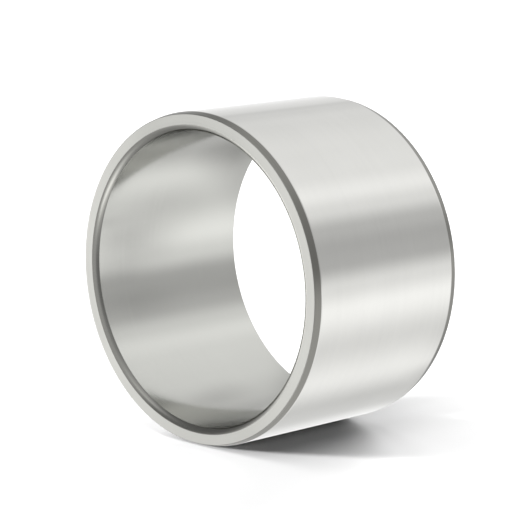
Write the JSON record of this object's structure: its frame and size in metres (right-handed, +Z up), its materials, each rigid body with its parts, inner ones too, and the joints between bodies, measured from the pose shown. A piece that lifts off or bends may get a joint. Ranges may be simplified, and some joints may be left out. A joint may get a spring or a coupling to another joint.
{
  "type": "needle roller bearing inner ring",
  "caption": "Plain hardened steel inner ring of a needle roller bearing: a ground bore for the shaft, a ground raceway outside for the needles, and lead-in chamfers at both ends.",
  "frame": {"origin": "centre of the ring: on its axis, midway between its end faces", "axes": "+Y along the ring's axis, +X across it, +Z up with the ring standing on its raceway"},
  "size_m": [0.09, 0.054, 0.09],
  "materials": {
    "bearing_steel": "ground and honed raceway and bore, ground end faces, darker turned corners"
  },
  "bodies": {
    "root": {"inner_ring": "bearing_steel"}
  },
  "joints": []
}
